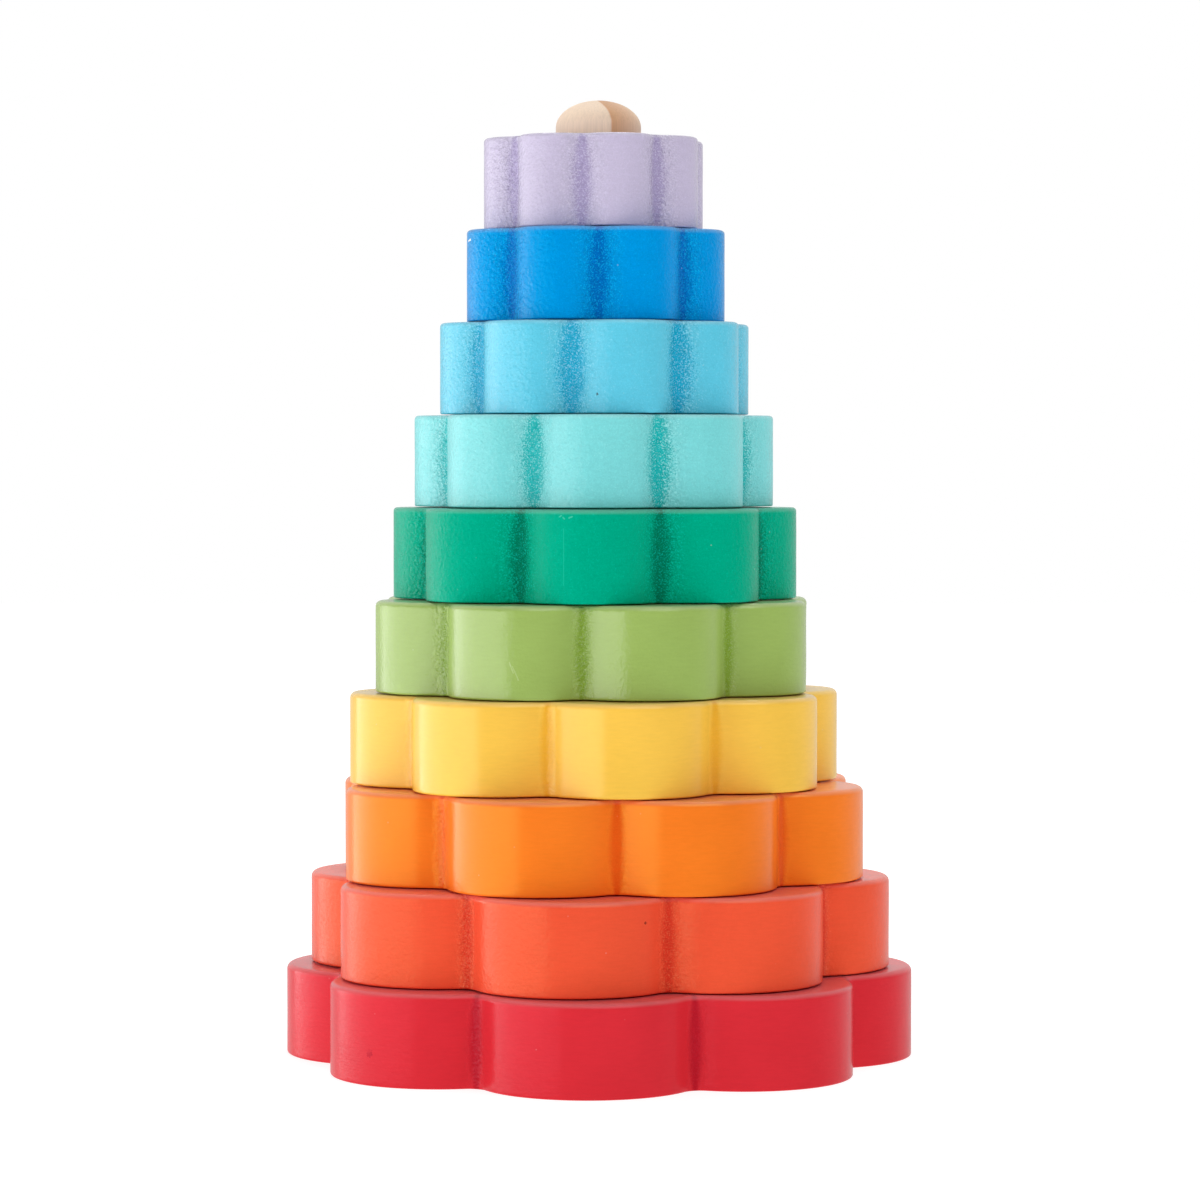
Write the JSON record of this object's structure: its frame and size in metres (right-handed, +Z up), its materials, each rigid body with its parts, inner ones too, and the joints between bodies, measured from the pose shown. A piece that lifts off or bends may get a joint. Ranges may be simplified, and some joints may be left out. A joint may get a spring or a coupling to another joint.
{
  "type": "stacking ring toy",
  "caption": "Wooden stacking toy: petal-edged rings of falling size lie loose on a round-topped peg fixed in the widest disc, and each lifts off.",
  "frame": {"origin": "middle of the flat underside of the base disc, on the peg's axis", "axes": "+Z up along the peg; +X and +Y lie in the surface the toy stands on, with a petal of the base disc just off -Y"},
  "size_m": [0.1508, 0.1508, 0.2292],
  "materials": {
    "crimson_lacquer": "gloss spray lacquer over wood",
    "coral_lacquer": "gloss spray lacquer over wood",
    "orange_lacquer": "gloss spray lacquer over wood",
    "yellow_lacquer": "gloss spray lacquer over wood",
    "leaf_green_lacquer": "gloss spray lacquer over wood",
    "emerald_lacquer": "gloss spray lacquer over wood",
    "turquoise_lacquer": "gloss spray lacquer over wood",
    "sky_blue_lacquer": "gloss spray lacquer over wood",
    "blue_lacquer": "gloss spray lacquer over wood",
    "lavender_lacquer": "gloss spray lacquer over wood",
    "bare_wood": "sanded, unpainted"
  },
  "bodies": {
    "base": {"base_disc": "crimson_lacquer", "peg": "bare_wood"},
    "coral_ring": {"ring_coral": "coral_lacquer"},
    "orange_ring": {"ring_orange": "orange_lacquer"},
    "yellow_ring": {"ring_yellow": "yellow_lacquer"},
    "light_green_ring": {"ring_light_green": "leaf_green_lacquer"},
    "emerald_ring": {"ring_emerald": "emerald_lacquer"},
    "turquoise_ring": {"ring_turquoise": "turquoise_lacquer"},
    "sky_blue_ring": {"ring_sky_blue": "sky_blue_lacquer"},
    "blue_ring": {"ring_blue": "blue_lacquer"},
    "lavender_ring": {"ring_lavender": "lavender_lacquer"}
  },
  "joints": [
    {"name": "lift_coral", "type": "slide", "parent": "base", "child": "coral_ring", "axis": [0, 0, 1], "range_m": [0, 0.2172]},
    {"name": "lift_orange", "type": "slide", "parent": "coral_ring", "child": "orange_ring", "axis": [0, 0, 1], "range_m": [0, 0.1952]},
    {"name": "lift_yellow", "type": "slide", "parent": "orange_ring", "child": "yellow_ring", "axis": [0, 0, 1], "range_m": [0, 0.1732]},
    {"name": "lift_light_green", "type": "slide", "parent": "yellow_ring", "child": "light_green_ring", "axis": [0, 0, 1], "range_m": [0, 0.1512]},
    {"name": "lift_emerald", "type": "slide", "parent": "light_green_ring", "child": "emerald_ring", "axis": [0, 0, 1], "range_m": [0, 0.1292]},
    {"name": "lift_turquoise", "type": "slide", "parent": "emerald_ring", "child": "turquoise_ring", "axis": [0, 0, 1], "range_m": [0, 0.1072]},
    {"name": "lift_sky_blue", "type": "slide", "parent": "turquoise_ring", "child": "sky_blue_ring", "axis": [0, 0, 1], "range_m": [0, 0.0852]},
    {"name": "lift_blue", "type": "slide", "parent": "sky_blue_ring", "child": "blue_ring", "axis": [0, 0, 1], "range_m": [0, 0.0632]},
    {"name": "lift_lavender", "type": "slide", "parent": "blue_ring", "child": "lavender_ring", "axis": [0, 0, 1], "range_m": [0, 0.0412]}
  ]
}
